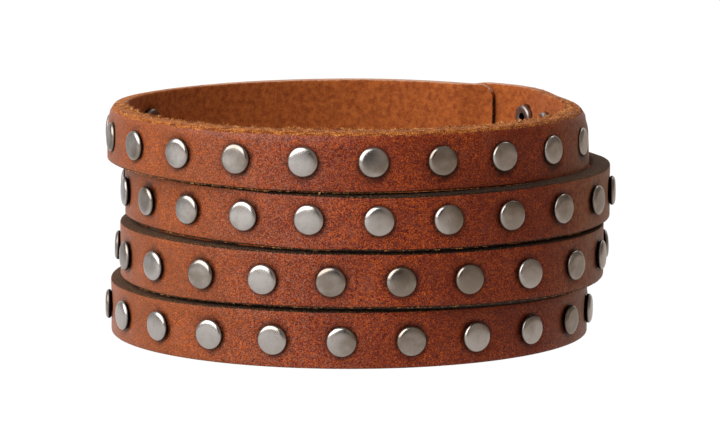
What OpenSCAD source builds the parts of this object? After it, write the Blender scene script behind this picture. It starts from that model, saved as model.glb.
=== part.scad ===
/* [Cuff] */
// Height of the cuff, strips and slits together
cuff_h = 32; // [26:0.5:40]
// Thickness of the leather
leather_t = 2.45; // [2:0.05:3]
// Half the width of the back curve, outside
back_half_w = 33.4; // [32:0.1:35]
// Depth of the back, from the widest line to the outside of the leather
back_depth = 28.9; // [27:0.1:31]
// How far the rear right quarter of the back curve is pressed in
back_flat = 2.2; // [0:0.1:3]

/* [Strips, top strip first] */
// Sideways shift of each strip's own oval
strip_shift = [-1.1, 1.45, 0.75, -1.05]; // [-2:0.05:2]
// Half the width of each strip's own oval, outside
strip_half_w = [33.4, 34, 34, 33.6]; // [32:0.1:35]
// Depth of each strip's front, from the widest line to the outside of the leather
strip_front = [30.7, 31.5, 31, 30.4]; // [29:0.1:33]
// Squareness of each front curve, where 2 is a plain oval
strip_square = [2.05, 2, 2.12, 2]; // [1.9:0.01:2.3]
// How far each strip's rear right quarter is pressed in
strip_flat = [2.1, 0, 0.5, 0.5]; // [0:0.1:3]

/* [Slits] */
// Width of each slit
slit_w = 0.4; // [0.2:0.1:1]
// Angle of the slits' left ends, counted from the right side over the back
slit_left = 126; // [115:1:130]
// Angle of the slits' right ends
slit_right = 60; // [58:1:62]

/* [Closure] */
// Angle at which the inner flap ends
inner_flap_end = 50; // [48:1:54]
// Angle at which the outer flap ends
outer_flap_end = 97; // [90:1:105]
// Radius of the flap corners
flap_corner_r = 2; // [1:0.1:4]
// How much lower the outer flap is than the cuff, at each edge
flap_inset = 0.5; // [0:0.1:1]
// Gap between the two flaps
flap_gap = 0.06; // [0.03:0.01:0.2]
// Angle of the snaps, in the middle of the overlap
snap_angle = 74; // [70:1:80]
// Height of the lower and the upper snap
snap_z = [10.5, 21.5]; // [6:0.5:26]
// Diameter of a snap's outer cap
snap_d = 8; // [6:0.5:10]

/* [Studs] */
// Diameter of a stud's cap
stud_d = 4.25; // [3.5:0.05:5]
// Height of a cap above the leather
stud_h = 0.75; // [0.6:0.01:1]
// Diameter of a stud's post
post_d = 2.2; // [1.6:0.1:2.6]
// Outer diameter of the rolled ring inside the cuff
ring_d = 3.7; // [3:0.1:4.5]
// Diameter of the hole in the rolled ring
ring_hole_d = 1.5; // [1:0.1:1.8]
// Distance from one stud to the next, along the leather
stud_pitch = 9.35; // [8:0.05:12]
// Distance of one stud in each row from the front middle of its strip
stud_start = [3.3, 1.5, -4.2, -1]; // [-5:0.1:5]
// Height of each row above the middle line of its strip
stud_lift = [-0.2, 0.2, 0, -0.1]; // [-0.5:0.05:0.5]
// Rise of each row from the middle to the right side
stud_rise = [-0.2, -0.15, 0, -0.15]; // [-0.5:0.05:0.5]

/* [Hidden] */

// Angles run counterclockwise from the right side, and past a full turn on the outer flap:
// inner flap end, back, left side, front, right side, outer flap end.
FULL = 360;
FRONT = 270;
PLAN_STEP = 3.5;
SLOPE_STEP = 0.5;
OVERCUT = 1;

// The strips run on their own ovals from the left side to the right side, and fade into the
// common back curve before the slits end.
fade_left_start = slit_left + 4;
fade_left_end = 176;
fade_right_start = FULL + 4;
fade_right_end = FULL + slit_right - 4;

// The outer flap steps out by one thickness before it meets the end of the inner flap.
step_start = FULL + 16;
step_end = FULL + inner_flap_end - 3;

// The pressed places: angle of the middle and half the width, in degrees.
BACK_FLAT = [45, 50];
STRIP_FLAT = [22, 42];

strip_h = (cuff_h - 3 * slit_w) / 4;
TOP_ROW = 0;
SECOND_ROW = 1;
THIRD_ROW = 2;
BOTTOM_ROW = 3;
function strip_z(k) = (BOTTOM_ROW - k) * (strip_h + slit_w);

// Studs sit in each strip from this angle on the left to this one on the right.
STUD_FIRST = 149;
STUD_LAST = FULL + 38;

// Play between metal and leather.
bore_gap = 0.1;
cap_gap = 0.09;
ring_gap = 0.2;

CAP_SHOULDER = 0.34;
CAP_CROWN = 0.08;
RING_H = 0.5;
RING_ROUND = 0.22;
SNAP_CAP_H = 1.5;
SNAP_RIM_H = 0.3;
SNAP_POST_D = 3;
SNAP_RING_D = 6;
SNAP_RING_H = 0.8;
SNAP_RING_HOLE_D = 2.4;
SNAP_CAP_GAP = 0.08;
SNAP_RING_GAP = 0.22;

LEATHER_COLOR = "sienna";
STUD_COLOR = "darkgray";
SNAP_COLOR = "dimgray";

// The whole model is moved by this much, so that its origin is the middle of its base.
stud_reach = stud_h + cap_gap;
left_reach = max([for (k = [0:3]) strip_half_w[k] - strip_shift[k]]) + stud_reach;
right_reach = max([for (k = [0:3]) strip_half_w[k] + strip_shift[k]]) + stud_reach;
front_reach = max(strip_front) + stud_reach;
back_reach = back_depth + leather_t + flap_gap;
CENTRE = [(left_reach - right_reach) / 2, (front_reach - back_reach) / 2, 0];

function smooth(t) = let (u = min(max(t, 0), 1)) u * u * (3 - 2 * u);

// A bump of height 1 at the middle angle, down to 0 at both ends.
function bump(a, place) =
    let (d = (a - place[0] + 3 * FULL / 2) % FULL - FULL / 2)
    abs(d) < place[1] ? pow(cos(90 * d / place[1]), 2) : 0;

// A point of an oval with its own half width, and its own depth and squareness at the front.
function oval(a, shift, half_w, front, square, flat, place) =
    let (
        keep = 1 - flat * bump(a, place) / back_half_w,
        is_front = sin(a) < 0,
        depth = is_front ? front : back_depth,
        power = is_front ? 2 / square : 1
    )
    [
        shift + keep * half_w * sign(cos(a)) * pow(abs(cos(a)), power),
        keep * depth * sign(sin(a)) * pow(abs(sin(a)), power)
    ];

function back_point(a) = oval(a, 0, back_half_w, back_depth, 2, back_flat, BACK_FLAT);

function strip_point(a, k) =
    oval(a, strip_shift[k], strip_half_w[k], strip_front[k], strip_square[k], strip_flat[k], STRIP_FLAT);

// How much of the strip's own oval shows at an angle: all at the front, none at the back.
function own_share(a) =
    a < FULL / 2
        ? smooth((a - fade_left_start) / (fade_left_end - fade_left_start))
        : smooth((fade_right_end - a) / (fade_right_end - fade_right_start));

function mixed_point(a, k) =
    let (own = own_share(a))
    own == 0 ? back_point(a) : own * strip_point(a, k) + (1 - own) * back_point(a);

// Unit vector that points outwards, square to a run along a curve.
function square_to(run) = [run[1], -run[0]] / norm(run);

function outward(a, k) = square_to(mixed_point(a + SLOPE_STEP, k) - mixed_point(a - SLOPE_STEP, k));

// The outside of the leather, with the outer flap's step.
function outside_point(a, k) =
    mixed_point(a, k)
    + outward(a, k) * (leather_t + flap_gap) * smooth((a - step_start) / (step_end - step_start));

function wall_outline(from, to, k) =
    let (
        count = ceil((to - from) / PLAN_STEP),
        angles = [for (i = [0:count]) from + (to - from) * i / count]
    )
    concat(
        [for (a = angles) outside_point(a, k)],
        [for (i = [count:-1:0]) outside_point(angles[i], k) - leather_t * outward(angles[i], k)]
    );

// Distance along the outside of a strip for each angle.
function run_table(k) =
    [
        for (
            a = slit_left, run = 0;
            a <= FULL + slit_right;
            run = run + norm(outside_point(a + 1, k) - outside_point(a, k)), a = a + 1
        )
        [a, run]
    ];

function turned(table) = [for (row = table) [row[1], row[0]]];

// Angles of the studs in one row.
function stud_angles(k) =
    let (
        table = run_table(k),
        back_table = turned(table),
        start = lookup(FRONT, table) + stud_start[k],
        before = floor((start - lookup(STUD_FIRST, table)) / stud_pitch),
        after = floor((lookup(STUD_LAST, table) - start) / stud_pitch)
    )
    [for (i = [-before:after]) lookup(start + i * stud_pitch, back_table)];

function stud_height(a, k) =
    strip_z(k) + strip_h / 2 + stud_lift[k] + stud_rise[k] * outside_point(a, k)[0] / back_half_w;

// Puts what is drawn along +Z square to the leather, with z = 0 at its outside.
module on_leather(a, k, z) {
    place = outside_point(a, k);
    way = square_to(outside_point(a + SLOPE_STEP, k) - outside_point(a - SLOPE_STEP, k));
    translate([place[0], place[1], z])
        rotate([0, 0, atan2(way[1], way[0])])
            rotate([0, 90, 0])
                children();
}

module wall(from, to, k, z, h) {
    translate([0, 0, z])
        linear_extrude(h)
            polygon(wall_outline(from, to, k));
}

// What a rounded corner takes off a flap end: the corner is at the origin, the flap on +X and +Y.
module corner_waste() {
    linear_extrude(4 * leather_t, center = true)
        difference() {
            translate([-OVERCUT, -OVERCUT])
                square(flap_corner_r + OVERCUT);
            translate([flap_corner_r, flap_corner_r])
                circle(flap_corner_r, $fn = 48);
        }
}

// Both corners of a flap end, between its lower and its upper edge. Where flipped is 1, the
// flap lies towards smaller angles.
module end_corners(a, low, high, flipped) {
    place = outside_point(a, TOP_ROW) - leather_t / 2 * outward(a, TOP_ROW);
    way = outward(a, TOP_ROW);
    translate([place[0], place[1], 0])
        rotate([0, 0, atan2(way[1], way[0]) + 90])
            rotate([90, 0, 0])
                mirror([flipped, 0, 0]) {
                    translate([0, low, 0])
                        corner_waste();
                    translate([0, high, 0])
                        mirror([0, 1, 0])
                            corner_waste();
                }
}

module inner_flap() {
    difference() {
        wall(inner_flap_end, slit_left, TOP_ROW, 0, cuff_h);
        end_corners(inner_flap_end, 0, cuff_h, 0);
    }
}

module outer_flap() {
    low = flap_inset;
    high = cuff_h - flap_inset;
    difference() {
        wall(FULL + slit_right, FULL + outer_flap_end, TOP_ROW, low, high - low);
        end_corners(FULL + outer_flap_end, low, high, 1);
    }
}

module strip(k) {
    wall(slit_left, FULL + slit_right, k, strip_z(k), strip_h);
}

module stud_bores(k) {
    for (a = stud_angles(k))
        on_leather(a, k, stud_height(a, k))
            translate([0, 0, -2 * leather_t])
                cylinder(h = 3 * leather_t, d = post_d + 2 * bore_gap, $fn = 32);
}

module snap_bores() {
    for (z = snap_z)
        on_leather(FULL + snap_angle, TOP_ROW, z)
            translate([0, 0, -3 * leather_t])
                cylinder(h = 4 * leather_t, d = SNAP_POST_D + 2 * bore_gap, $fn = 32);
}

module leather_cuff() {
    color(LEATHER_COLOR)
        translate(CENTRE)
            difference() {
                union() {
                    inner_flap();
                    for (k = [TOP_ROW:BOTTOM_ROW])
                        strip(k);
                    outer_flap();
                }
                for (k = [TOP_ROW:BOTTOM_ROW])
                    stud_bores(k);
                snap_bores();
            }
}

// Points of an arc, for a turned profile.
function arc(middle, r, from, to, count) =
    [for (i = [0:count]) let (a = from + (to - from) * i / count) middle + r * [cos(a), sin(a)]];

// A shallow dome over a circle, from its top at the axis out to its foot.
function dome(r, h, foot, count) =
    let (
        ball_r = (r * r + h * h) / (2 * h),
        turn = asin(r / ball_r)
    )
    arc([0, foot + h - ball_r], ball_r, 90, 90 - turn, count);

// A capped post with a rolled ring at its inner end, turned about its own axis.
module stud() {
    cap_r = stud_d / 2;
    face_r = cap_r - CAP_SHOULDER;
    face_z = cap_gap + stud_h - CAP_CROWN;
    ring_top = -leather_t - ring_gap;
    ring_base = ring_top - RING_H;
    hole_top = ring_top + RING_H;
    rotate_extrude($fn = 48)
        polygon(concat(
            dome(face_r, CAP_CROWN, face_z, 2),
            arc([face_r, face_z - CAP_SHOULDER], CAP_SHOULDER, 60, 0, 2),
            [[cap_r, cap_gap], [post_d / 2, cap_gap], [post_d / 2, ring_top]],
            arc([ring_d / 2 - RING_ROUND, ring_top - RING_ROUND], RING_ROUND, 90, -90, 4),
            [[ring_hole_d / 2, ring_base], [ring_hole_d / 2, hole_top], [0, hole_top]]
        ));
}

module stud_row(k) {
    color(STUD_COLOR)
        translate(CENTRE)
            for (a = stud_angles(k))
                on_leather(a, k, stud_height(a, k))
                    stud();
}

module studs_top_row() {
    stud_row(TOP_ROW);
}

module studs_second_row() {
    stud_row(SECOND_ROW);
}

module studs_third_row() {
    stud_row(THIRD_ROW);
}

module studs_bottom_row() {
    stud_row(BOTTOM_ROW);
}

// A closed snap in one piece: domed cap outside, post through both flaps, ring inside.
module snap(z) {
    cap_r = snap_d / 2;
    ring_top = -2 * leather_t - flap_gap - SNAP_RING_GAP;
    ring_base = ring_top - SNAP_RING_H;
    post_r = SNAP_POST_D / 2;
    round_x = SNAP_RING_D / 2 - RING_ROUND;
    color(SNAP_COLOR)
        translate(CENTRE)
            on_leather(FULL + snap_angle, TOP_ROW, z)
                rotate_extrude($fn = 64)
                    polygon(concat(
                        dome(cap_r, SNAP_CAP_H - SNAP_RIM_H, SNAP_CAP_GAP + SNAP_RIM_H, 6),
                        [[cap_r, SNAP_CAP_GAP], [post_r, SNAP_CAP_GAP], [post_r, ring_top]],
                        arc([round_x, ring_top - RING_ROUND], RING_ROUND, 90, 0, 3),
                        arc([round_x, ring_base + RING_ROUND], RING_ROUND, 0, -90, 3),
                        [[SNAP_RING_HOLE_D / 2, ring_base], [SNAP_RING_HOLE_D / 2, ring_top], [0, ring_top]]
                    ));
}

module snap_upper() {
    snap(snap_z[1]);
}

module snap_lower() {
    snap(snap_z[0]);
}

leather_cuff();
studs_top_row();
studs_second_row();
studs_third_row();
studs_bottom_row();
snap_upper();
snap_lower();
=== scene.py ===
# %% [markdown]
# # A studded leather cuff, dressed in Blender
# The solids of this cuff come from a CAD program and are loaded here as a fixed frame. They
# could be shown as they are, but a real cuff is soft at its edges, fuzzy where it was cut and
# worn where it was rubbed. So each part gets a finer piece of its own in the same place.

# %% Load the fixed frame
import math
import random
from functools import lru_cache

import bmesh
import bpy
from mathutils import Matrix, Vector, noise


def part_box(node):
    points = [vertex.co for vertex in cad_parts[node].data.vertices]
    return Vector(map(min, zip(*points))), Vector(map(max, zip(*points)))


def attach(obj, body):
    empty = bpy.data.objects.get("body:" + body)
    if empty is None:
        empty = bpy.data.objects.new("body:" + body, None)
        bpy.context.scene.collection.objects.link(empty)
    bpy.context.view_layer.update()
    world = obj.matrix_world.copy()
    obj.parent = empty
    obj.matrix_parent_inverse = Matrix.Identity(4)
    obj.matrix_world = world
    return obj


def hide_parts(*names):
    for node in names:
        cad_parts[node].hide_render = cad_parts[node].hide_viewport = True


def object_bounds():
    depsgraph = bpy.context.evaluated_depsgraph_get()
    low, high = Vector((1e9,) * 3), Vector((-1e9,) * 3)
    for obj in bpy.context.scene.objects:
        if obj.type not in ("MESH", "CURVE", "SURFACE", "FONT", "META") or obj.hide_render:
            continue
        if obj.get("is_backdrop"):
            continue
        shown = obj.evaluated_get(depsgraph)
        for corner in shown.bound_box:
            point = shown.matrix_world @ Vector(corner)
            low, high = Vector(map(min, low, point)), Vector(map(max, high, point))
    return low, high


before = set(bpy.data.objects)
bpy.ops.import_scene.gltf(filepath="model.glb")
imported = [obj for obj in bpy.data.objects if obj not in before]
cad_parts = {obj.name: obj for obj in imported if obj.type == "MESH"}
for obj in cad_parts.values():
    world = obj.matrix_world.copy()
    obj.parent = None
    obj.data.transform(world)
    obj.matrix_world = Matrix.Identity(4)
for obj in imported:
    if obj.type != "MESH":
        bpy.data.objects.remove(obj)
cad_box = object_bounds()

MM = 0.001
print("CAD box in mm:", [[round(v / MM, 2) for v in corner] for corner in cad_box])

# %% [markdown]
# ## The camera
# The cuff stands on a table and is seen from the front, a little from above, through a long
# lens. A camera could be placed by eye. Here it is placed by an angle and a distance from a
# point inside the cuff, because then each number has one meaning and is easy to correct.

# %% Camera
VIEW_POINT = Vector((0, -2.535, 16.2)) * MM
VIEW_HEIGHT = math.radians(9)
VIEW_DISTANCE = 541.3 * MM

camera_data = bpy.data.cameras.new("camera")
camera_data.lens = 193.5
camera_data.sensor_width = 36
camera_data.clip_start = 10 * MM
camera = bpy.data.objects.new("camera", camera_data)
bpy.context.scene.collection.objects.link(camera)
back_from_point = Vector((0, -math.cos(VIEW_HEIGHT), math.sin(VIEW_HEIGHT)))
camera.location = VIEW_POINT + back_from_point * VIEW_DISTANCE
camera.rotation_mode = "QUATERNION"
camera.rotation_quaternion = (-back_from_point).to_track_quat("-Z", "Y")
bpy.context.scene.camera = camera
print("camera at", [round(v, 3) for v in camera.location])

# %% [markdown]
# ## The sizes that the solids were made with
# The real cuff is a strap 32 mm wide that three slits cut into four strips. Its sizes could be
# measured off the loaded meshes. It is surer to write the same named sizes again, because all
# the curves below are worked out from them. Lengths are in metres, so each is a number of
# millimetres times MM, and lists start with the top strip. Angles are in degrees. They run
# counterclockwise from the right side, and past a full turn on the outer flap.

# %% Sizes of the cuff
CUFF_H = 32 * MM
LEATHER_T = 2.45 * MM
BACK_HALF_W = 33.4 * MM
BACK_DEPTH = 28.9 * MM
STRIP_SHIFT = [v * MM for v in (-1.1, 1.45, 0.75, -1.05)]
STRIP_HALF_W = [v * MM for v in (33.4, 34, 34, 33.6)]
STRIP_FRONT = [v * MM for v in (30.7, 31.5, 31, 30.4)]
STRIP_SQUARE = (2.05, 2, 2.12, 2)

# How far the rear right quarter is pressed in, and the middle and half width of that place.
BACK_FLAT = 2.2 * MM
BACK_FLAT_PLACE = (45, 50)
STRIP_FLAT = [v * MM for v in (2.1, 0, 0.5, 0.5)]
STRIP_FLAT_PLACE = (22, 42)

SLIT_W = 0.4 * MM
SLIT_LEFT = 126
SLIT_RIGHT = 420
INNER_FLAP_END = 50
OUTER_FLAP_END = 457
FLAP_CORNER_R = 2 * MM
FLAP_INSET = 0.5 * MM
FLAP_GAP = 0.06 * MM

# Here the strap climbs over the end of the inner flap.
STEP_FROM, STEP_TO = 376, 407

STRIP_H = (CUFF_H - 3 * SLIT_W) / 4
STRIP_RISE = STRIP_H + SLIT_W
STRIPS = range(4)
print("each strip is", round(STRIP_H / MM, 2), "mm high")

# %% [markdown]
# ## The curve that the leather follows
# From above, the cuff is a set of flattened ovals: one common curve at the back, and four that
# drift apart in front, because the slits let each strip find its own place. A curve object
# could hold each oval. Plain functions are used instead, the same ones that shape the solids,
# so that every stud and every edge lands where the frame has it.

# %% Ovals of the plan
# A strip leaves the back curve between the first two angles and is back on it after the others.
OWN_FROM, OWN_FULL = 130, 176
BACK_FROM, BACK_FULL = 364, 416


def smooth(t):
    """Runs from 0 to 1 without a corner at either end."""
    u = min(max(t, 0.0), 1.0)
    return u * u * (3 - 2 * u)


def bump(a, place):
    """A bump of height 1 at the middle angle, down to 0 at both ends."""
    d = (a - place[0] + 540) % 360 - 180
    return math.cos(math.radians(90 * d / place[1])) ** 2 if abs(d) < place[1] else 0.0


def oval(a, shift, half_w, front, square, flat, place):
    """A point of an oval with its own width, and its own depth and squareness at the front."""
    c, s = math.cos(math.radians(a)), math.sin(math.radians(a))
    keep = 1 - flat * bump(a, place) / BACK_HALF_W
    depth, power = (front, 2 / square) if s < 0 else (BACK_DEPTH, 1)
    x = shift + keep * half_w * math.copysign(abs(c) ** power, c)
    return Vector((x, keep * depth * math.copysign(abs(s) ** power, s)))


def mixed_point(a, k):
    """The back curve, giving way to strip k's own oval in front."""
    if a < 180:
        own = smooth((a - OWN_FROM) / (OWN_FULL - OWN_FROM))
    else:
        own = smooth((BACK_FULL - a) / (BACK_FULL - BACK_FROM))
    back = oval(a, 0, BACK_HALF_W, BACK_DEPTH, 2, BACK_FLAT, BACK_FLAT_PLACE)
    if own == 0:
        return back
    mine = oval(
        a, STRIP_SHIFT[k], STRIP_HALF_W[k], STRIP_FRONT[k],
        STRIP_SQUARE[k], STRIP_FLAT[k], STRIP_FLAT_PLACE,
    )
    return own * mine + (1 - own) * back


print("top strip at the left side in mm:", [round(v / MM, 2) for v in mixed_point(180, 0)])

# %% Outside of the leather
@lru_cache(maxsize=None)
def outward(a, k):
    """Unit vector square to the curve, pointing out of the cuff."""
    run = mixed_point(a + 0.5, k) - mixed_point(a - 0.5, k)
    return Vector((run.y, -run.x)).normalized()


@lru_cache(maxsize=None)
def outside_point(a, k):
    """The outside of the leather, with the outer flap's step."""
    step = smooth((a - STEP_FROM) / (STEP_TO - STEP_FROM))
    return mixed_point(a, k) + outward(a, k) * (LEATHER_T + FLAP_GAP) * step


# The frame's origin is the middle of the cuff's box, stud caps and outer flap included.
STUD_REACH = 0.84 * MM
left_reach = max(w - s for w, s in zip(STRIP_HALF_W, STRIP_SHIFT)) + STUD_REACH
right_reach = max(w + s for w, s in zip(STRIP_HALF_W, STRIP_SHIFT)) + STUD_REACH
front_reach = max(STRIP_FRONT) + STUD_REACH
back_reach = BACK_DEPTH + LEATHER_T + FLAP_GAP
CENTRE = Vector(((left_reach - right_reach) / 2, (front_reach - back_reach) / 2))
print("plan centre in mm:", [round(v / MM, 3) for v in CENTRE])

# %% [markdown]
# ## The strap, flat on the bench
# The real cuff is one strip of thick leather. It is cut flat, slit lengthwise with a blade,
# punched and only then bent round. It could be modelled round from the start, but slits and
# corners are far easier to cut in a flat sheet. So the sheet is made flat: X runs along the
# strap, Y across it from the bottom edge to the top one, and Z up through the grain side.
# A table of distances along the curve says which angle each X belongs to.

# %% Distances along the strap
TABLE_STEP = 0.5
table_rows = round((OUTER_FLAP_END - INNER_FLAP_END) / TABLE_STEP) + 1
table_angles = [INNER_FLAP_END + i * TABLE_STEP for i in range(table_rows)]
table_runs = [0.0]
for before, after in zip(table_angles, table_angles[1:]):
    steps = [(outside_point(after, k) - outside_point(before, k)).length for k in STRIPS]
    table_runs.append(table_runs[-1] + sum(steps) / 4)
STRAP_L = table_runs[-1]


def run_at(a):
    """Distance along the flat strap at an angle."""
    at = (a - INNER_FLAP_END) / TABLE_STEP
    i = min(max(int(at), 0), len(table_runs) - 2)
    return table_runs[i] + (at - i) * (table_runs[i + 1] - table_runs[i])


def angle_at(x):
    """Angle at a distance along the flat strap."""
    low, high = 0, len(table_runs) - 1
    while high - low > 1:
        middle = (low + high) // 2
        if table_runs[middle] <= x:
            low = middle
        else:
            high = middle
    share = (x - table_runs[low]) / (table_runs[high] - table_runs[low])
    return table_angles[low] + share * TABLE_STEP


print("strap length in mm:", round(STRAP_L / MM, 1))

# %% [markdown]
# ## Cutting the sheet
# A single face is scaled to the size of the strap. Planes then cut it where the slits run and
# where they end, and the faces that lie in a slit are deleted. A boolean with three long boxes
# would do as well, but these cuts keep every face four-sided, which bends without creases.

# %% Sheet with three slits
def cut(bm, place, way):
    """Cuts all faces where a plane crosses them."""
    geometry = bm.verts[:] + bm.edges[:] + bm.faces[:]
    bmesh.ops.bisect_plane(bm, geom=geometry, dist=1e-7, plane_co=place, plane_no=way)


strap = bmesh.new()
bmesh.ops.create_grid(strap, x_segments=1, y_segments=1, size=0.5)
bmesh.ops.translate(strap, verts=strap.verts, vec=(0.5, 0.5, 0))
bmesh.ops.scale(strap, verts=strap.verts, vec=(STRAP_L, CUFF_H, 1))

slit_from, slit_to = run_at(SLIT_LEFT), run_at(SLIT_RIGHT)
slit_rows = [(k * STRIP_RISE + STRIP_H, (k + 1) * STRIP_RISE) for k in range(3)]
for low, high in slit_rows:
    cut(strap, (0, low, 0), (0, 1, 0))
    cut(strap, (0, high, 0), (0, 1, 0))
for x in (slit_from, slit_to):
    cut(strap, (x, 0, 0), (1, 0, 0))

in_slit = []
for face in strap.faces:
    middle = face.calc_center_median()
    if slit_from < middle.x < slit_to and any(low < middle.y < high for low, high in slit_rows):
        in_slit.append(face)
bmesh.ops.delete(strap, geom=in_slit, context="FACES")
print("sheet faces:", len(strap.faces))

# %% [markdown]
# ## Thickness and rounded edges
# Solidify gives the sheet the thickness of the leather. A blade leaves a sharp edge, and wear
# rounds it, so the long and short edges of both sides are bevelled. A Bevel modifier could do
# it at the end, but now the mesh has few faces, and a few long edges bevel cleanly.

# %% Thickness
bmesh.ops.solidify(strap, geom=strap.faces[:], thickness=LEATHER_T)
top_now = max(v.co.z for v in strap.verts)
bmesh.ops.translate(strap, verts=strap.verts, vec=(0, 0, -top_now))
bmesh.ops.recalc_face_normals(strap, faces=strap.faces)
print("thickness in mm:", round(-min(v.co.z for v in strap.verts) / MM, 3))

# %% Rounded edges
EDGE_ROUND = 0.28 * MM


def is_rim(edge):
    """An edge between a side of the sheet and its thickness."""
    low, high = sorted(v.co.z for v in edge.verts)
    return high - low < 1e-7 and edge.calc_face_angle(0) > 1


bmesh.ops.bevel(
    strap, geom=[e for e in strap.edges if is_rim(e)], offset=EDGE_ROUND,
    offset_type="OFFSET", segments=3, profile=0.5, affect="EDGES", material=-1,
)
print("faces after the bevel:", len(strap.faces))

# %% [markdown]
# ## A mesh fine enough to bend
# The sheet is bent by moving its vertices, so it needs many of them. Subdividing every edge
# alike would waste faces on the narrow bevels. Here only the long edges are divided, one
# direction after the other, and each direction has its own length of piece.

# %% Fine mesh
COLUMN = 0.42 * MM
ROW = 0.7 * MM
LAYER = 0.6 * MM


def divide(bm, axis, longest, piece):
    """Divides the edges that run along one axis and are longer than a given length."""
    groups = {}
    for edge in bm.edges:
        run = edge.verts[1].co - edge.verts[0].co
        if abs(run[axis]) > longest and abs(run[axis]) > 0.99 * run.length:
            middle = (edge.verts[0].co + edge.verts[1].co) / 2
            third = 0 if middle.x < slit_from else 2 if middle.x > slit_to else 1
            groups.setdefault(third if axis == 0 else 0, []).append(edge)
    for edges in groups.values():
        cuts = round(max(e.calc_length() for e in edges) / piece) - 1
        bmesh.ops.subdivide_edges(bm, edges=edges, cuts=cuts, use_grid_fill=True)


divide(strap, 0, 4 * MM, COLUMN)
divide(strap, 1, 4 * MM, ROW)
divide(strap, 2, 1 * MM, LAYER)
print("strap faces:", len(strap.faces))

# %% [markdown]
# ## Where the studs sit
# Each stud pulls the leather in a little round its cap, so the strap needs to know where the
# studs are before it is bent. They could be read off the loaded solids, but a rule is shorter:
# they stand at equal distances along each strip, and every row starts at its own place.

# %% Stud places
STUD_PITCH = 9.35 * MM
STUD_START = [v * MM for v in (3.3, 1.5, -4.2, -1)]
STUD_LIFT = [v * MM for v in (-0.2, 0.2, 0, -0.1)]
STUD_RISE = [v * MM for v in (-0.2, -0.15, 0, -0.15)]
STUD_FIRST, STUD_LAST = 149, 398
FRONT = 270


def lookup(x, table):
    """Straight-line value between the rows of a table."""
    for (x0, y0), (x1, y1) in zip(table, table[1:]):
        if x <= x1:
            return y0 + (y1 - y0) * (x - x0) / (x1 - x0)
    return table[-1][1]


def stud_angles(k):
    """Angles of the studs in one row."""
    table = [(SLIT_LEFT, 0.0)]
    for a in range(SLIT_LEFT, SLIT_RIGHT):
        step = (outside_point(a + 1, k) - outside_point(a, k)).length
        table.append((a + 1, table[-1][1] + step))
    back_table = [(run, a) for a, run in table]
    start = lookup(FRONT, table) + STUD_START[k]
    before = math.floor((start - lookup(STUD_FIRST, table)) / STUD_PITCH)
    after = math.floor((lookup(STUD_LAST, table) - start) / STUD_PITCH)
    return [lookup(start + i * STUD_PITCH, back_table) for i in range(-before, after + 1)]


def stud_height(a, k):
    """Height of a stud's middle above the table; a row rises or falls towards the sides."""
    rise = STUD_RISE[k] * outside_point(a, k).x / BACK_HALF_W
    return (3 - k) * STRIP_RISE + STRIP_H / 2 + STUD_LIFT[k] + rise


stud_places = [[(a, stud_height(a, k)) for a in stud_angles(k)] for k in STRIPS]
stud_spots = [[(run_at(a), z) for a, z in row] for row in stud_places]
print("studs per row:", [len(row) for row in stud_places])

# %% [markdown]
# ## Strips that sag and lean
# Four loose strips never lie quite parallel: the top one sags in front and leans out at its
# sides, the others rise or dip by a fraction of a millimetre. These moves could be sculpted,
# but then they couldn't be repeated. Here each is a soft hill along the strap, given by its
# height in millimetres, its middle angle and its half width, and it moves the strip's upper
# edge (up is 1), its lower edge (up is 0) or both.

# %% Strips that sag and lean
def strip_of(y):
    """Number of the strip at a height, 0 at the top."""
    return 3 - min(max(int((y + 0.05 * MM) / STRIP_RISE), 0), 3)


def hill(a, middle, half):
    """How near an angle is to a place on the strap, from 0 to 1."""
    return smooth(1 - abs(a - middle) / half)


def strip_lift(a, k, up, inner):
    """How much higher strip k lies than the plan has it; inner is 1 on the side of the wrist."""
    if k == 0:
        sag = 0.35 * smooth((a - 205) / 50) * smooth((415 - a) / 40)
        sag += 0.38 * hill(a, 335, 50)
        sag += 0.2 * hill(a, 275, 50)
        return -sag * MM * (1 - 0.8 * up)
    if k == 1:
        rise = 0.55 * hill(a, 208, 52) * (1 - 0.35 * up) * (1 - inner * (1 - up))
        return (rise - 0.3 * hill(a, 275, 50) * up) * MM
    if k == 2:
        low = 0.25 * hill(a, 275, 60) - 0.25 * hill(a, 160, 30)
        return (0.3 * hill(a, 215, 35) * up + low * (1 - up)) * MM
    rise = 0.25 * hill(a, 275, 60) + 0.2 * hill(a, 165, 25)
    return (rise - 0.2 * hill(a, 330, 40)) * MM * up


def strip_lean(a, k, up):
    """How far the top strip stands out below its upper edge: it leans in front and at the sides."""
    if k > 0:
        return 0.0
    front = 0.3 * smooth((a - 185) / 35) * smooth((390 - a) / 35) * (1 - up)
    sides = hill(a, 355, 60) + 1.15 * hill(a, 180, 40)
    return (front + 0.42 * sides * smooth((1 - up) / 0.5)) * MM


print("the top strip sags in mm by:", [round(-strip_lift(a, 0, 0, 0) / MM, 2) for a in (200, 270, 335)])

# %% [markdown]
# ## What the knife left
# A knife strays a little and leaves a rough face. In a slit the two faces meet on the side of
# the wrist and open towards the outside. The inner flap's end is pared thin, so that it doesn't
# press. All this could be sculpted too, but noise and short rules give an even hand.

# %% Knife and paring
# The slits shut on the side of the wrist and gape outside: top edge, three slits, bottom edge.
SLIT_SHUT = 0.24 * MM
SLIT_GAPE = [v * MM for v in (0, 0.3, 0.04, 0.16, 0)]
PARED_LENGTH = 6 * MM
PARED_SHARE = 0.72


def blade_wave(x, slit):
    """How far the knife strayed along a slit, or along the top edge for slit -1."""
    most = 0.10 if slit >= 0 else 0.05
    return noise.noise(Vector((x / (9 * MM), slit * 7.3, 0.5))) * most * MM


def unevenness(x, y, z):
    """Small hollows and swellings all over the strap."""
    return noise.noise(Vector((x / (0.9 * MM), y / (2 * MM), z / (0.7 * MM)))) * 0.04 * MM


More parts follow.
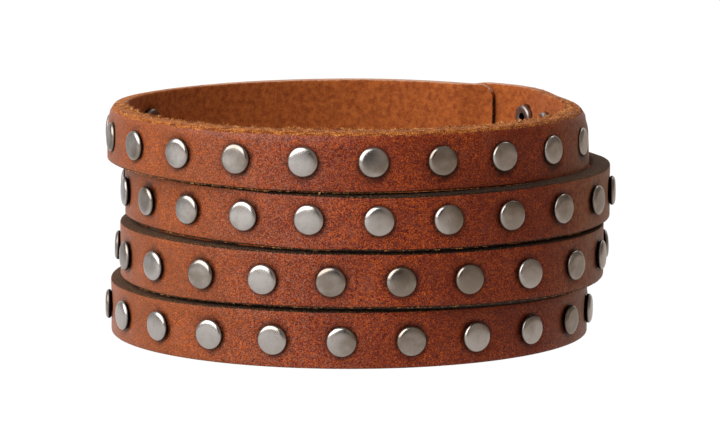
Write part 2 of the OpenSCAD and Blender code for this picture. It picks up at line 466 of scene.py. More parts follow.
def pared(x):
    """How much of its thickness the leather keeps near the inner flap's end."""
    return 1 - PARED_SHARE * smooth(1 - x / PARED_LENGTH)


print("thickness at the inner flap's end in mm:", round(LEATHER_T * pared(0) / MM, 2))

# %% [markdown]
# ## Bending the strap round
# A Curve modifier could bend the sheet, but it knows one curve and this strap has four. So
# each vertex is moved by a function instead: its X gives the angle, its Y the height and the
# strip, and its Z the depth in the leather. The function adds the sags, the marks of the knife,
# a shallow hollow under each cap and a thinned outer edge at the top. The fibres made later
# pass through it too.

# %% Bending
CAP_HOLLOW = 0.13 * MM
RING_HOLLOW = 1.2 * MM
TOP_ROUND = 0.5 * MM


def stud_gap(x, y, k):
    """Distance in the strap from a point to the middle of the nearest stud."""
    return min(math.hypot(x - sx, y - sy) for sx, sy in stud_spots[k])


def drawn_in(y, by):
    """Height of a point where the strap is narrower by one amount at both edges."""
    return CUFF_H / 2 + (y - CUFF_H / 2) * (1 - 2 * by / CUFF_H)


def strap_edge(x, y, a):
    """Height of a point on the flaps, which have rounded corners, and on the narrower outer one."""
    end_gap = min(x, STRAP_L - x)
    if end_gap < FLAP_CORNER_R:
        side = FLAP_CORNER_R ** 2 - (FLAP_CORNER_R - end_gap) ** 2
        y = drawn_in(y, FLAP_CORNER_R - math.sqrt(max(side, 0)))
    return drawn_in(y, FLAP_INSET * smooth((a - 414) / 8))


def place_on_cuff(x, y, z, k=None):
    """Takes a point of the flat strap to its place on the cuff; a fibre names its own strip."""
    a = round(angle_at(min(max(x, 0), STRAP_L)), 4)
    k = strip_of(y) if k is None else k
    # The strips are free in front; the plain panel at the back stays as planned.
    free = smooth((a - 110) / 30) * smooth((425 - a) / 30)
    share = (y - (3 - k) * STRIP_RISE) / STRIP_H
    depth = -z
    y = strap_edge(x, y, a)

    wave = blade_wave(x, k) * (1 - share) + blade_wave(x, k - 1) * share
    inner = smooth(depth / LEATHER_T)
    gape = SLIT_GAPE[k + 1] * (1 - share) + SLIT_GAPE[k] * share
    shut = (share - 0.5) * (SLIT_SHUT * inner - gape * (1 - inner))
    lift = strip_lift(a, k, share, inner) + wave + shut
    # The edge on the table and the top edge keep their heights.
    foot_guard = smooth(y / (2 * MM)) if k == 3 else 1
    head_guard = smooth((CUFF_H - y) / (1.5 * MM)) if k == 0 else 1
    rough = unevenness(x, y, z)
    height = y + free * (lift * foot_guard + rough * foot_guard * head_guard)

    depth *= pared(x)
    grain_side = smooth(1 - depth / (0.6 * LEATHER_T))
    if free > 0:
        gap = stud_gap(x, y, k)
        under_cap = smooth((2.95 * MM - gap) / (0.9 * MM))
        over_ring = smooth((1.75 * MM - gap) / (0.5 * MM))
        depth += free * grain_side * CAP_HOLLOW * under_cap
        depth -= free * (1 - grain_side) * RING_HOLLOW * over_ring
    depth -= free * strip_lean(a, k, share)
    if k == 0:
        from_top = CUFF_H - y
        depth += grain_side * TOP_ROUND * smooth(1 - from_top / (1.1 * MM)) ** 2
    spot = outside_point(a, k) - outward(a, k) * depth + CENTRE
    return Vector((spot.x, spot.y, height))


front_top = place_on_cuff(run_at(FRONT), CUFF_H, 0)
print("front middle, top edge in mm:", [round(v / MM, 2) for v in front_top])

# %% [markdown]
# ## Marks for the finish
# The material has to know where the leather is grain, cut edge or suede. Painted masks are one way.
# Here five numbers are stored on each vertex while the sheet is still flat, where they are simple to
# work out: how deep it lies in the leather, how near it is to a dyed edge, to a slit and to the top
# edge, which is left raw, and how near to a stud's rim, where painted shade darkens the leather round
# the cap.

# %% Marks on the flat sheet
MARK_REACH = 3 * MM


def slit_gap(x, y):
    """Distance in the sheet from a point to the nearest slit."""
    beyond = max(slit_from - x, x - slit_to, 0)
    return min(math.hypot(beyond, max(low - y, y - high, 0)) for low, high in slit_rows)


depth_mark = strap.verts.layers.float.new("depth")
edge_mark = strap.verts.layers.float.new("cut_edge")
slit_mark = strap.verts.layers.float.new("slit_edge")
raw_mark = strap.verts.layers.float.new("raw_edge")
seat_shade_mark = strap.verts.layers.float.new("stud_seat_shade")
for v in strap.verts:
    x, y, z = v.co
    from_slit = slit_gap(x, y)
    from_top = max(CUFF_H - y, 0)
    from_end = max(min(x, STRAP_L - x), 0)
    from_rim = stud_gap(x, y, strip_of(y)) - 1.9 * MM
    v[depth_mark] = -z / LEATHER_T
    v[slit_mark] = 1 - min(from_slit / MARK_REACH, 1)
    v[edge_mark] = 1 - min(min(from_slit, from_end, max(y, 0)) / MARK_REACH, 1)
    # Painted shade round each cap, fading out within about 0.75 mm of its rim.
    v[seat_shade_mark] = smooth(1 - from_rim / (0.75 * MM))
    not_end = smooth(0.5 + (from_end - from_top) / (0.8 * MM))
    v[raw_mark] = (1 - min(from_top / MARK_REACH, 1)) * not_end
for v in strap.verts:
    v.co = place_on_cuff(*v.co)
bmesh.ops.recalc_face_normals(strap, faces=strap.faces)
print("strap vertices:", len(strap.verts))

# %% [markdown]
# ## From mesh code to a piece
# A bmesh is only data until it becomes an object in the scene. Each piece could be set up where it is
# made, but one function does it alike for all: the piece rides on the one body of this part, takes the
# material that it is given, and stands for the solids that it covers.

# %% Finished pieces
def finish_piece(bm, name, material, slot, *nodes, corner=35):
    """Turns a bmesh into a piece that replaces CAD nodes."""
    mesh = bpy.data.meshes.new(name)
    bm.to_mesh(mesh)
    bm.free()
    mesh.shade_smooth()
    mesh.set_sharp_from_angle(angle=math.radians(corner))
    mesh.materials.append(material)
    piece = bpy.data.objects.new(name, mesh)
    bpy.context.scene.collection.objects.link(piece)
    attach(piece, "root")
    if nodes:
        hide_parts(*nodes)
    print(name, "has", len(mesh.polygons), "faces")


print("CAD nodes to stand for:", sorted(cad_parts))

# %% [markdown]
# ## Building materials from nodes
# Materials could be put together by hand in the shader editor. In a script, small helpers keep
# each step to a line or two: they add a node and wire it, mix two colours or two numbers,
# stretch a range of numbers, make noise of a real size, and turn a number into a colour.

# %% Helpers for materials
def colour(red, green, blue):
    """A screen colour from 0 to 255, as the renderer wants it."""
    return tuple((v / 255) ** 2.2 for v in (red, green, blue)) + (1,)


def add(tree, kind, settings=None, **sockets):
    """Adds a node; a socket is named with _ for a space, or by number as s0, s1."""
    node = tree.nodes.new("ShaderNode" + kind)
    for key, value in (settings or {}).items():
        setattr(node, key, value)
    for key, value in sockets.items():
        numbered = key[0] == "s" and key[1:].isdigit()
        socket = node.inputs[int(key[1:]) if numbered else key.replace("_", " ")]
        if isinstance(value, bpy.types.NodeSocket):
            tree.links.new(value, socket)
        else:
            socket.default_value = value
    return node


def new_material(name):
    """An empty material, its nodes, its shader and the place on the piece in metres."""
    material = bpy.data.materials.new(name)
    material.use_nodes = True
    tree = material.node_tree
    place = add(tree, "TexCoord").outputs["Object"]
    return material, tree, tree.nodes["Principled BSDF"], place


def stored(tree, name):
    """A number that is stored on the vertices."""
    return add(tree, "Attribute", {"attribute_name": name}).outputs["Fac"]


def mixed(tree, share, first, second):
    """Mixes two colours."""
    return add(tree, "Mix", {"data_type": "RGBA"}, s0=share, s6=first, s7=second).outputs[2]


def between(tree, share, first, second):
    """Mixes two numbers."""
    return add(tree, "Mix", s0=share, s2=first, s3=second).outputs[0]


def reach(tree, value, low, high, to_low=0.0, to_high=1.0):
    """Maps a range of numbers to another one, without corners."""
    soft = {"interpolation_type": "SMOOTHSTEP"}
    node = add(tree, "MapRange", soft, s0=value, s1=low, s2=high, s3=to_low, s4=to_high)
    return node.outputs[0]


def maths(tree, operation, first, second):
    """One sum with two numbers."""
    return add(tree, "Math", {"operation": operation}, s0=first, s1=second).outputs[0]


def times(tree, first, second):
    """One number times another."""
    return maths(tree, "MULTIPLY", first, second)


def plus(tree, first, second):
    """One number plus another."""
    return maths(tree, "ADD", first, second)


def weighed(tree, first, first_share, second, second_share):
    """The sum of two numbers, each taken with its own share."""
    return plus(tree, times(tree, first, first_share), times(tree, second, second_share))


def specks(tree, place, size, detail=3.0, rough=0.6, stretch=(1, 1, 1)):
    """Noise with features of a real size, in metres."""
    moved = add(tree, "Mapping", Vector=place, Scale=stretch).outputs[0]
    node = add(tree, "TexNoise", Vector=moved, Scale=1 / size, Detail=detail, Roughness=rough)
    return node.outputs[0]


def ramp(tree, value, *stops):
    """Turns a number into a colour, by stops of place and colour."""
    node = add(tree, "ValToRGB", s0=value)
    while len(node.color_ramp.elements) < len(stops):
        node.color_ramp.elements.new(1.0)
    for element, (place, shade) in zip(node.color_ramp.elements, stops):
        element.position = place
        element.color = shade
    return node.outputs[0]


print("leather orange for the renderer:", [round(v, 3) for v in colour(216, 104, 38)])

# %% [markdown]
# ## The leather's specks
# Seen close, the grain side is a mottle of orange, red-brown and dark violet specks a quarter of a
# millimetre wide. One noise would look like cloud, so eight are made, each with the size of one thing
# that shows: fine grain, specks of three tones, long scratches, larger stains, and patches of painted
# sheen. The pale specks carry painted sheen too, further down.
# The marks stored on the vertices are read here too.

# %% Marks and specks of the leather
leather, tree, shader, place = new_material("waxed_leather")
parts = add(tree, "SeparateXYZ", s0=place).outputs
across, away = parts["X"], parts["Y"]
depth = stored(tree, "depth")
cut_edge = stored(tree, "cut_edge")
slit_edge = stored(tree, "slit_edge")
raw_edge = stored(tree, "raw_edge")
stud_seat_shade = stored(tree, "stud_seat_shade")

fine = specks(tree, place, 0.18 * MM, 2.0, 0.7)
middle = specks(tree, place, 0.8 * MM, 3.0, 0.6)
cloud = specks(tree, place, 7 * MM, 2.0, 0.5)
sheen_patch = specks(tree, place, 2.6 * MM, 3.0, 0.6)
streak = specks(tree, place, 0.26 * MM, 2.0, 0.6, (0.2, 0.2, 1))
warm = specks(tree, place, 0.25 * MM, 1.0, 0.5, (1.2, 1.2, 1.2))
violet = specks(tree, place, 0.27 * MM, 1.0, 0.5, (1.1, 1.1, 1.1))
pale = specks(tree, place, 0.17 * MM, 1.0, 0.5, (0.8, 0.8, 1.2))
print("nodes for marks and specks:", len(tree.nodes))

# %% Grain side
mottle = weighed(tree, fine, 0.8, middle, 0.2)
grain = ramp(
    tree, mottle,
    (0.40, colour(46, 14, 9)), (0.47, colour(102, 31, 15)),
    (0.53, colour(136, 46, 16)), (0.61, colour(216, 104, 38)),
)
layers = (
    (warm, 0.48, 0.64, 0.6, (162, 70, 16)),
    (violet, 0.50, 0.66, 0.6, (100, 40, 46)),
    # The next layer is painted sheen: pale pinkish patches at random places.
    (sheen_patch, 0.52, 0.72, 0.3, (144, 80, 62)),
    (cloud, 0.42, 0.6, 0.35, (98, 32, 18)),
    (streak, 0.57, 0.72, 0.5, (178, 88, 32)),
)
for pattern, low, high, most, shade in layers:
    grain = mixed(tree, reach(tree, pattern, low, high, 0.0, most), grain, colour(*shade))
print("layers on the grain:", len(layers))

# %% [markdown]
# ## Painted light and shade round the cuff
# Here colour stands in for light. The left side, in the softbox's light, is painted a paler ochre. A
# painted sheen of pale specks lies on the front left. The right side, away from the light, is painted
# darker, and a painted tan sheen lies where light grazes the right end. Round each cap the leather is
# painted darker too, as shade. Painting by hand would do it. A reach of X in object coordinates is
# enough, because these changes are wide and soft, and it stays with the leather from any side.

# %% Tones round the cuff
# Painted light: the left side, lit by the softbox, is painted a paler ochre.
painted_left_light = reach(tree, across, -30 * MM, -4 * MM, 0.26, 0.0)
grain = mixed(tree, painted_left_light, grain, colour(150, 98, 46))
# Painted shade: the right side, away from the light, is painted darker.
painted_right_shade = reach(tree, across, 2 * MM, 18 * MM, 0.0, 0.25)
grain = mixed(tree, painted_right_shade, grain, colour(84, 30, 22))
# Painted sheen: pale specks on the front left, where the softbox's sheen lies.
not_left = reach(tree, across, -28 * MM, -12 * MM, 0.4, 1.0)
not_right = reach(tree, across, -10 * MM, 8 * MM, 0.66, 0.12)
painted_sheen = times(tree, reach(tree, pale, 0.5, 0.66), times(tree, not_left, not_right))
grain = mixed(tree, painted_sheen, grain, colour(162, 112, 92))
# Painted sheen: a tan wash where light grazes the right end.
right_end = reach(tree, across, 24 * MM, 33 * MM, 0.0, 0.8)
painted_end_sheen = times(tree, right_end, reach(tree, middle, 0.4, 0.6, 0.3, 1.0))
grain = mixed(tree, painted_end_sheen, grain, colour(150, 104, 72))
# Painted shade: the leather is darker round each cap, where the stud stands proud.
painted_seat_shade = times(tree, stud_seat_shade, reach(tree, middle, 0.35, 0.65, 0.95, 0.6))
grain = mixed(tree, painted_seat_shade, grain, colour(48, 20, 12))
print("nodes for the grain side:", len(tree.nodes))

# %% [markdown]
# ## Cut edges and the inside
# The top edge is bare fibre, orange in front and painted paler behind as sheen, where the light from
# the back grazes it. The slits, the bottom edge and the flap ends are dyed nearly black. Painted shade
# makes the dye darker from the middle to the right and along the suede side of the slits, painted light
# makes it brown at the left, and at the far right it is lighter grey-brown. The inside is smooth suede.
# Separate materials on groups of faces would end in hard lines, so all the colours are made in one
# material and mixed by the marks, with ragged borders between them.

# %% Raw, dyed and suede colours
fibre = weighed(tree, fine, 0.7, streak, 0.3)
raw_with_sheen = ramp(
    tree, fibre,
    (0.38, colour(66, 30, 13)), (0.46, colour(124, 62, 25)),
    (0.54, colour(166, 94, 40)), (0.66, colour(222, 160, 90)),
)
# Painted sheen: the top edge is paler behind, where the light from the back grazes it.
raw_with_sheen = mixed(tree, reach(tree, away, 10 * MM, 24 * MM, 0.0, 0.55), raw_with_sheen, colour(200, 164, 142))
dye_lit_and_shaded = ramp(
    tree, fine,
    (0.40, colour(10, 6, 5)), (0.50, colour(34, 20, 13)),
    (0.59, colour(78, 50, 30)), (0.67, colour(160, 116, 72)),
)
# Painted shade darkens the dye from the middle to the right, painted light makes it brown at the left,
# and it is lighter grey-brown at the far right.
for low, high, at_low, at_high, shade in (
    (0, 14, 0.0, 0.5, (26, 17, 12)),
    (22, 32, 0.0, 0.3, (108, 76, 50)),
    (-28, -6, 0.3, 0.0, (96, 62, 40)),
):
    share = reach(tree, across, low * MM, high * MM, at_low, at_high)
    dye_lit_and_shaded = mixed(tree, share, dye_lit_and_shaded, colour(*shade))
soft_mottle = weighed(tree, middle, 0.6, fine, 0.4)
suede = ramp(tree, soft_mottle, (0.40, colour(134, 66, 32)), (0.60, colour(176, 96, 46)))
print("nodes with the edges and the suede:", len(tree.nodes))

# %% Which colour shows where
ragged = times(tree, maths(tree, "SUBTRACT", middle, 0.5), 0.22)
flesh = reach(tree, depth, 0.86, 0.97)
# The slit edges are dyed; on the suede side the dark reaches about a millimetre from the slits, as
# painted shade inside the slits.
slit_dye_and_shade = reach(tree, plus(tree, slit_edge, times(tree, flesh, 0.33)), 0.91, 0.96)
end_dye = reach(tree, plus(tree, cut_edge, ragged), 0.95, 1.0)
on_dye_and_shade = maths(tree, "MAXIMUM", slit_dye_and_shade, end_dye)
raw_from = plus(tree, plus(tree, raw_edge, ragged), times(tree, flesh, -0.14))
on_raw = reach(tree, raw_from, 0.84, 0.88)
whole = mixed(tree, flesh, grain, suede)
whole = mixed(tree, on_dye_and_shade, whole, dye_lit_and_shaded)
whole = mixed(tree, on_raw, whole, raw_with_sheen)
tree.links.new(whole, shader.inputs["Base Color"])
print("nodes with the borders:", len(tree.nodes))

# %% [markdown]
# ## Gloss and relief of the leather
# The grain side has a thin wax that gives a soft shine. Cut fibre and suede have none. A gloss
# map could be painted, but the same marks already know where the fibre is. Small relief from
# the specks breaks the shine up, and it is stronger in the fibre.

# %% Gloss and relief
fibrous = maths(tree, "MAXIMUM", maths(tree, "MAXIMUM", on_dye_and_shade, on_raw), flesh)
shine = reach(tree, middle, 0.3, 0.7, 0.36, 0.45)
tree.links.new(between(tree, fibrous, shine, 0.9), shader.inputs["Roughness"])
height = weighed(tree, fine, 0.6, middle, 0.5)
strength = between(tree, fibrous, 0.45, 0.8)
relief = add(tree, "Bump", Strength=strength, Distance=0.15 * MM, Height=height)
tree.links.new(relief.outputs[0], shader.inputs["Normal"])
shader.inputs["Sheen Weight"].default_value = 0.08
shader.inputs["Sheen Roughness"].default_value = 0.45
shader.inputs["Sheen Tint"].default_value = colour(215, 195, 180)
shader.inputs["Specular IOR Level"].default_value = 0.2
finish_piece(strap, "cuff_leather", leather, "leather", "leather_cuff")

# %% [markdown]
# ## Studs
# A stud is a pressed metal cap on a post, and the post's end is rolled back into a ring inside
# the cuff. Loops could be extruded and scaled one by one. But a stud is a turned shape, so its
# outline is drawn once and spun about its axis. The cap's crown and its rolled edge are points
# on an arc. The two sharp corners of the ring are bevelled as whole rings after the spin.

# %% Spun shapes
def spun(outline, steps, rounds, painted_shade):
    """Spins an outline of (radius, height) in mm, rounds some of its rings and stores a painted shade
    on each vertex.
    """
    bm = bmesh.new()
    points = [bm.verts.new((r * MM, 0, h * MM)) for r, h in outline]
    lines = [bm.edges.new(pair) for pair in zip(points, points[1:])]
    bmesh.ops.spin(
        bm, geom=points + lines, cent=(0, 0, 0), axis=(0, 0, 1),
        angle=math.tau, steps=steps, use_merge=True,
    )
    bmesh.ops.remove_doubles(bm, verts=bm.verts, dist=0.001 * MM)
    for radius, height, size, segments in rounds:
        ring = []
        for edge in bm.edges:
            off_radius = max(abs(v.co.xy.length - radius * MM) for v in edge.verts)
            off_height = max(abs(v.co.z - height * MM) for v in edge.verts)
            if max(off_radius, off_height) < 1e-6:
                ring.append(edge)
        bmesh.ops.bevel(
            bm, geom=ring, offset=size * MM, offset_type="OFFSET", segments=segments,
            profile=0.5, affect="EDGES", material=-1,
        )
    bmesh.ops.recalc_face_normals(bm, faces=bm.faces)
    # Painted shade, from 0 to 1, for the metal under the rim and inside the cuff.
    painted_shade_mark = bm.verts.layers.float.new("painted_shade")
    for v in bm.verts:
        v[painted_shade_mark] = painted_shade(v.co.xy.length / MM, v.co.z / MM)
    mesh = bpy.data.meshes.new("pattern")
    bm.to_mesh(mesh)
    bm.free()
    return mesh


def stud_painted_shade(radius, height):
    """Painted shade: dark under the cap's rim and in the hollow of the rolled ring, a little darker on
    the rest of the ring inside the cuff.
    """
    if height > -1:
        return smooth((0.52 - height) / 0.2)
    return 1.0 if radius < 0.75 else 0.35


INSIDE = -LEATHER_T / MM
RING_FACE = INSIDE - 0.68
stud_outline = [
    (0, 0.84), (0.5, 0.832), (1.0, 0.808), (1.45, 0.768), (1.68, 0.716), (1.84, 0.64),
    (1.95, 0.545), (2.02, 0.43), (2.05, 0.3), (2.0, 0.14), (1.76, -0.1),
    (1.1, -0.1), (1.1, INSIDE + 0.1), (1.85, INSIDE + 0.02), (1.85, RING_FACE),
    (0.62, RING_FACE), (0.62, INSIDE + 0.7), (0, INSIDE + 0.7),
]
stud_rounds = [(1.85, RING_FACE, 0.36, 4), (0.62, RING_FACE, 0.34, 4)]
stud_pattern = spun(stud_outline, 40, stud_rounds, stud_painted_shade)
print("stud faces:", len(stud_pattern.polygons))

# %% [markdown]
# ## Metal
# The caps are plated steel with a brownish film, brighter where it has rubbed off, with painted shade
# under the rim and inside the cuff. Brushed metal is often made with an anisotropic shader, but these
# caps are tumbled, so fine specks in the roughness and soft stains in the colour look closer. Each stud
# also carries a number of its own, so that no two have the same tone.

# %% Metal material
def make_metal(name, bright, film, rough):
    """Worn plated metal with a tone that differs from piece to piece."""
    metal, tree, shader, place = new_material(name)
    own = stored(tree, "own_tone")
    painted_shade = stored(tree, "painted_shade")
    stain = specks(tree, place, 3.5 * MM, 3.0, 0.55)
    blot = specks(tree, place, 1.1 * MM, 3.0, 0.6)
    dust = specks(tree, place, 0.16 * MM, 2.0, 0.6)
    scratch = specks(tree, place, 0.3 * MM, 2.0, 0.5, (1, 1, 0.15))
    shift = plus(tree, stain, times(tree, maths(tree, "SUBTRACT", own, 0.5), 0.42))
    tone = ramp(tree, shift, (0.3, film), (0.6, bright))
    tone = mixed(tree, reach(tree, blot, 0.45, 0.7, 0.0, 0.2), tone, film)
    tone = mixed(tree, reach(tree, dust, 0.58, 0.8, 0.0, 0.15), tone, film)
    # Painted shade: nearly black, and rough, under the rim and inside the cuff.
    tone = mixed(tree, painted_shade, tone, colour(34, 22, 17))
    tree.links.new(tone, shader.inputs["Base Color"])
    worn = weighed(tree, dust, 0.5, scratch, 0.5)
    gloss = reach(tree, worn, 0.35, 0.65, rough + 0.02, rough - 0.02)
    tree.links.new(between(tree, painted_shade, gloss, 0.7), shader.inputs["Roughness"])
    marks = plus(tree, times(tree, scratch, 0.5), dust)
    relief = add(tree, "Bump", Strength=0.03, Distance=0.02 * MM, Height=marks)
    tree.links.new(relief.outputs[0], shader.inputs["Normal"])
    shader.inputs["Metallic"].default_value = 1.0
    print(name, "has", len(tree.nodes), "nodes")
    return metal


stud_metal = make_metal("tumbled_steel", colour(188, 181, 176), colour(146, 134, 123), 0.24)
snap_metal = make_metal("antique_steel", colour(150, 143, 136), colour(118, 106, 94), 0.28)

# %% [markdown]
# ## Setting the studs
# A maker sets each stud with a punch, so it stands square on the leather, or nearly. Instances
# could repeat one stud, but a row is one piece here. So each stud is copied into the row's
# mesh by a matrix, with a small random tilt and turn. A row nods with its leaning strip, and
# four studs are visibly askew.

# %% Rows of studs
ROW_NODES = ("studs_top_row", "studs_second_row", "studs_third_row", "studs_bottom_row")
# Degrees by which each row nods, and by which single studs nod more: (row, number): degrees.
ROW_NOD = (1.4, 0.8, 1.2, 0.4)
ASKEW = {(0, 7): 6, (1, 8): 2, (2, 7): 3, (1, 4): 2}


def on_leather(a, k, z):
    """Matrix that sets what stands along Z square on the leather."""
    spot = outside_point(a, k) + CENTRE
    way = outside_point(a + 0.5, k) - outside_point(a - 0.5, k)
    turn = math.atan2(-way.x, way.y)
    upright = Matrix.Rotation(turn, 4, "Z") @ Matrix.Rotation(math.pi / 2, 4, "Y")
    return Matrix.Translation((spot.x, spot.y, z)) @ upright


def add_copy(bm, mesh, matrix, tone):
    """Adds a copy of a pattern mesh, placed by a matrix and marked with its own number."""
    count = len(bm.verts)
    bm.from_mesh(mesh)
    mark = bm.verts.layers.float.get("own_tone") or bm.verts.layers.float.new("own_tone")
    bm.verts.ensure_lookup_table()
    bmesh.ops.transform(bm, matrix=matrix, verts=bm.verts[count:])
    for v in bm.verts[count:]:
        v[mark] = tone


chance = random.Random(7)
for k, node in enumerate(ROW_NODES):
    row = bmesh.new()
    for number, (a, z) in enumerate(stud_places[k]):
        nod = ROW_NOD[k] + ASKEW.get((k, number), 0)
        tilt = Matrix.Rotation(math.radians(chance.uniform(-1.6, 1.6)), 4, "X")
        tilt = tilt @ Matrix.Rotation(math.radians(chance.uniform(-1.2, 1.2) - nod), 4, "Y")
        turn = Matrix.Rotation(chance.uniform(0, math.tau), 4, "Z")
        add_copy(row, stud_pattern, on_leather(a, k, z) @ tilt @ turn, chance.random())
    finish_piece(row, node.replace("studs", "worn_studs"), stud_metal, "stud_metal", node)
    low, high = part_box(node)
    print(node, "CAD box in mm:", [round(v / MM, 2) for v in (*low, *high)])

# %% [markdown]
# ## Snaps
# Two snaps hold the flaps together behind the wrist. From outside each is a plain domed cap
# with a rolled rim, and inside a flat ring. They could be modelled on their own, but they are
# turned shapes too, so they are spun like the studs, only larger.

# %% Snaps
SNAP_ANGLE = 434
SNAP_HEIGHTS = {"snap_upper": 21.5 * MM, "snap_lower": 10.5 * MM}
BOTH = -2 * LEATHER_T / MM - FLAP_GAP / MM
snap_outline = [
    (0, 1.58), (0.9, 1.545), (1.8, 1.43), (2.6, 1.22), (3.2, 0.95), (3.55, 0.68), (3.7, 0.56),
    (4.0, 0.5), (4.0, 0.1), (3.8, -0.04), (1.5, -0.04), (1.5, BOTH + 0.1),
    (3.0, BOTH + 0.04), (3.0, BOTH - 0.9), (1.2, BOTH - 0.9), (1.2, BOTH + 0.4), (0, BOTH + 0.4),
]
snap_rounds = [(4.0, 0.5, 0.16, 3), (3.0, BOTH - 0.9, 0.4, 4), (1.2, BOTH - 0.9, 0.4, 4)]


def snap_painted_shade(_, height):
    """Painted shade: dark under the snap's rim and on all that is inside the cuff."""
    return smooth((0.42 - height) / 0.2)


snap_pattern = spun(snap_outline, 56, snap_rounds, snap_painted_shade)
for node, z in SNAP_HEIGHTS.items():
    snap = bmesh.new()
    add_copy(snap, snap_pattern, on_leather(SNAP_ANGLE, 0, z), chance.random())
    finish_piece(snap, node + "_cap", snap_metal, "snap_metal", node)

# %% [markdown]
# ## Loose fibres
# Where the leather was cut, short fibres stand out of the edge. A particle system could grow
# them, but it can't be exported as one mesh. So a few tiny hairs are made by sweeping a
# triangle along an arc with spin, which leaves four rings of three points. The last ring is
# drawn to a tip, and both ends are filled.

# %% One tuft
HAIR_STEPS = 3
HAIR_POINTS = 3 * (HAIR_STEPS + 1)


def make_tuft(hairs, thick, short, long):
    """A mesh with a few curved hairs that start near the origin and point along Z."""
    bm = bmesh.new()
    for _ in range(hairs):
        length = chance.uniform(short, long)
        swing = chance.uniform(0.5, 1.5)
        radius = length / swing
        start = bmesh.ops.create_circle(bm, segments=3, radius=thick, cap_ends=False)["verts"]
        rim = list({e for v in start for e in v.link_edges})
        swept = bmesh.ops.spin(
            bm, geom=start + rim, cent=(radius, 0, 0), axis=(0, 1, 0),
            angle=swing, steps=HAIR_STEPS, use_merge=False,
        )
        tip = [g for g in swept["geom_last"] if isinstance(g, bmesh.types.BMVert)]
        middle = sum((v.co for v in tip), Vector()) / len(tip)
        bmesh.ops.scale(bm, verts=tip, vec=(0.2, 0.2, 0.2), space=Matrix.Translation(-middle))
        bm.verts.ensure_lookup_table()
        turn = Matrix.Rotation(chance.uniform(0, math.tau), 4, "Z")
        lean = Matrix.Rotation(chance.uniform(0.2, 1.3), 4, "Y")
        aside = chance.uniform(-0.3, 0.3) * MM, chance.uniform(-0.3, 0.3) * MM, 0
        matrix = Matrix.Translation(aside) @ (turn @ lean)
        bmesh.ops.transform(bm, matrix=matrix, verts=bm.verts[-HAIR_POINTS:])
    bmesh.ops.holes_fill(bm, edges=bm.edges[:], sides=3)
    mesh = bpy.data.meshes.new("tuft")
    bm.to_mesh(mesh)
    bm.free()
    return mesh


tufts = [make_tuft(4, 0.045 * MM, 0.3 * MM, 0.9 * MM) for _ in range(12)]
print("tuft faces:", [len(t.polygons) for t in tufts])

# %% [markdown]
# ## Scattering the fibres
# Most fibres stand on the top edge, long at its inner side and shorter at its outer one, and
# short ones hang in the slits from the strip above. A scatter node could place them. Here
# copies of the tufts are put on the flat strap with seeded chance, each turned its own way,
# and then every point goes through the same bend as the leather.

# %% Scatter
fibres = bmesh.new()
strip_mark = fibres.verts.layers.int.new("strip")


def scatter(count, x_from, x_to, y, depth_from, depth_to, up, size, k=0):
    """Scatters tufts along an edge of strip k of the flat strap, pointing up (1) or down (-1)."""
    for _ in range(count):
        x = chance.uniform(x_from, x_to)
        z = -chance.uniform(depth_from, depth_to) * LEATHER_T
        grow = chance.uniform(0.6, 1.2) * size
        # The tuft's Z is turned to the strap's Y, which is up on the finished cuff.
        matrix = (
            Matrix.Translation((x, y, z))
            @ Matrix.Rotation(-up * math.pi / 2, 4, "X")
            @ Matrix.Rotation(chance.uniform(0, math.tau), 4, "Z")
            @ Matrix.Scale(grow, 4)
        )
        first = len(fibres.verts)
        fibres.from_mesh(chance.choice(tufts))
        fibres.verts.ensure_lookup_table()
        bmesh.ops.transform(fibres, matrix=matrix, verts=fibres.verts[first:])
        for v in fibres.verts[first:]:
            v[strip_mark] = k


front_from, front_to = run_at(185), run_at(362)
TOP_EDGE = CUFF_H - 0.05 * MM
scatter(640, front_from, front_to, TOP_EDGE, 0.7, 1.0, 1, 0.75)
scatter(320, front_from, front_to, TOP_EDGE, 0.1, 0.6, 1, 0.6)
scatter(70, front_to, run_at(400), TOP_EDGE, 0.1, 1.0, 1, 0.4)
scatter(60, run_at(60), front_from, TOP_EDGE, 0.5, 1.0, 1, 0.35)
for number, (count, (low, high)) in enumerate(zip((170, 110, 300), slit_rows)):
    hang_from = high + 0.06 * MM
    scatter(count, run_at(205), run_at(330), hang_from, 0.0, 0.12, -1, 0.42, 2 - number)
for v in fibres.verts:
    v.co = place_on_cuff(*v.co, v[strip_mark])
bmesh.ops.recalc_face_normals(fibres, faces=fibres.faces)
print("fibre vertices:", len(fibres.verts))

# %% [markdown]
# ## The fibres' finish
# A hair is too thin to show any grain of its own, and one plain colour would make a wig. So
# noise a little longer than a hair gives each one its tone, from brown to straw.

# %% Fibre material
fibre_material, tree, shader, place = new_material("bare_fibre")
tone = specks(tree, place, 0.8 * MM, 2.0, 0.6)
shade = ramp(
    tree, tone,
    (0.38, colour(120, 64, 26)), (0.5, colour(176, 104, 46)), (0.64, colour(222, 170, 104)),
)
tree.links.new(shade, shader.inputs["Base Color"])
shader.inputs["Roughness"].default_value = 0.8
finish_piece(fibres, "edge_fibres", fibre_material, "leather")

# %% [markdown]
# ## Light
# The cuff stands in a white studio. A large soft light on the left gives the left side its
# glow, and a weaker one behind lights the back and the top edge. Small lamps would be simpler,
# but the studs are mirrors, and they would show as hard dots in every cap.

# %% Soft lights
def soft_light(name, place, power, width, height, tint=(1, 1, 1)):
    """A rectangular light that looks at the cuff, with its place in metres."""
    data = bpy.data.lights.new(name, "AREA")
    data.shape = "RECTANGLE"
    data.size = width
    data.size_y = height
    data.energy = power
    data.color = tint
    lamp = bpy.data.objects.new(name, data)
    bpy.context.scene.collection.objects.link(lamp)
    lamp.location = place
    way = VIEW_POINT - Vector(place)
    lamp.rotation_mode = "QUATERNION"
    lamp.rotation_quaternion = way.to_track_quat("-Z", "Y")


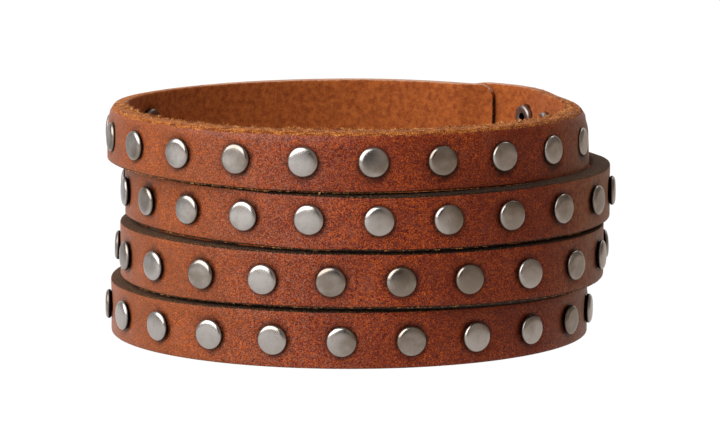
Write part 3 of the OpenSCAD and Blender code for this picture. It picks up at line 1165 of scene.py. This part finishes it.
soft_light("left_softbox", (-0.58, -0.41, 0.62), 13.4, 1.4, 0.9, (1, 0.99, 0.98))
soft_light("back_softbox", (0.1, 0.55, 0.75), 3.0, 0.9, 0.4)

# %% [markdown]
# ## The room
# What isn't lamp or table is room, and the caps mirror it. A picture of a studio could stand
# for it. A few ranges of direction say more clearly what does what: grey walls, brighter on
# the left and in front, a bright wall behind the cuff, warmer light from the right, and a dark
# column behind and above the camera. It gives the front caps their dark crescent.

# %% Room
world = bpy.data.worlds.new("room")
bpy.context.scene.world = world
world.use_nodes = True
tree = world.node_tree
room = tree.nodes["Background"]
way = add(tree, "SeparateXYZ", s0=add(tree, "TexCoord").outputs["Generated"]).outputs
to_front = reach(tree, way["Y"], -0.45, -0.25, 1.0, 0.0)
to_middle = reach(tree, maths(tree, "ABSOLUTE", way["X"], 0), 0.16, 0.36, 1.0, 0.0)
dark_front = times(tree, times(tree, to_front, to_middle), reach(tree, way["Z"], 0.02, 0.16))
to_back = reach(tree, way["Y"], 0.6, 0.95)
left_to_right = reach(tree, way["X"], -0.9, 0.6, 0.6, 0.3)
front_to_back = reach(tree, way["Y"], -0.6, 0.1, 1.0, 0.62)
sides = times(tree, left_to_right, front_to_back)
walls = plus(tree, sides, times(tree, to_back, 0.5))
tree.links.new(between(tree, dark_front, walls, 0.03), room.inputs["Strength"])

WHITE, WARM_WHITE = (1, 1, 1, 1), (1, 0.84, 0.7, 1)
tint = mixed(tree, reach(tree, way["X"], -0.5, 0.7), WHITE, WARM_WHITE)
tint = mixed(tree, to_back, tint, WHITE)
tree.links.new(tint, room.inputs["Color"])
print("room nodes:", len(tree.nodes))

# %% [markdown]
# ## The table
# The table is white paper so bright that it vanishes. A lit white plane would need far more
# light than the leather can take, so the paper glows by itself. The camera sees an even white.
# The leather and the caps see a glow that is strong on the left and weak and warm on the
# right, with a dimmer place on the left, beside the cuff and behind it.

# %% Table
table = bmesh.new()
bmesh.ops.create_grid(table, x_segments=1, y_segments=1, size=2.5)
table_mesh = bpy.data.meshes.new("table")
table.to_mesh(table_mesh)
table.free()
table_material, tree, shader, place = new_material("white_paper")
paper = specks(tree, place, 0.4 * MM, 2.0, 0.5)
shade = ramp(tree, paper, (0.3, colour(30, 30, 30)), (0.7, colour(34, 34, 34)))
tree.links.new(shade, shader.inputs["Base Color"])
shader.inputs["Roughness"].default_value = 0.9
shader.inputs["Specular IOR Level"].default_value = 0.05

parts = add(tree, "SeparateXYZ", s0=place).outputs
glow = reach(tree, parts["X"], -0.22, 0.16, 1.1, 0.42)
left = reach(tree, parts["X"], -0.10, -0.05, 0.5, 0.0)
dim = times(tree, left, reach(tree, parts["Y"], -0.06, 0.01))
glow = times(tree, glow, maths(tree, "SUBTRACT", 1.0, dim))
seen = add(tree, "LightPath").outputs["Is Camera Ray"]
tree.links.new(between(tree, seen, glow, 1.0), shader.inputs["Emission Strength"])
tint = mixed(tree, reach(tree, parts["X"], -0.1, 0.2), WHITE, WARM_WHITE)
tint = mixed(tree, seen, tint, WHITE)
tree.links.new(tint, shader.inputs["Emission Color"])
table_mesh.materials.append(table_material)
table_top = bpy.data.objects.new("table", table_mesh)
bpy.context.scene.collection.objects.link(table_top)
table_top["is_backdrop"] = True
bpy.context.scene.view_settings.view_transform = "Standard"
print("table is", round(table_top.dimensions.x, 1), "m wide")

# %% [markdown]
# ## Sizes
# The dressed cuff must not outgrow the solids. One could compare them by eye. The last cell prints both
# boxes instead.

# %% Sizes
sizes = {
    "cad": [list(corner) for corner in cad_box],
    "visual": [list(corner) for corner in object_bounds()],
}
for name, box in sizes.items():
    print(name, "box in mm:", [[round(v / MM, 2) for v in corner] for corner in box])
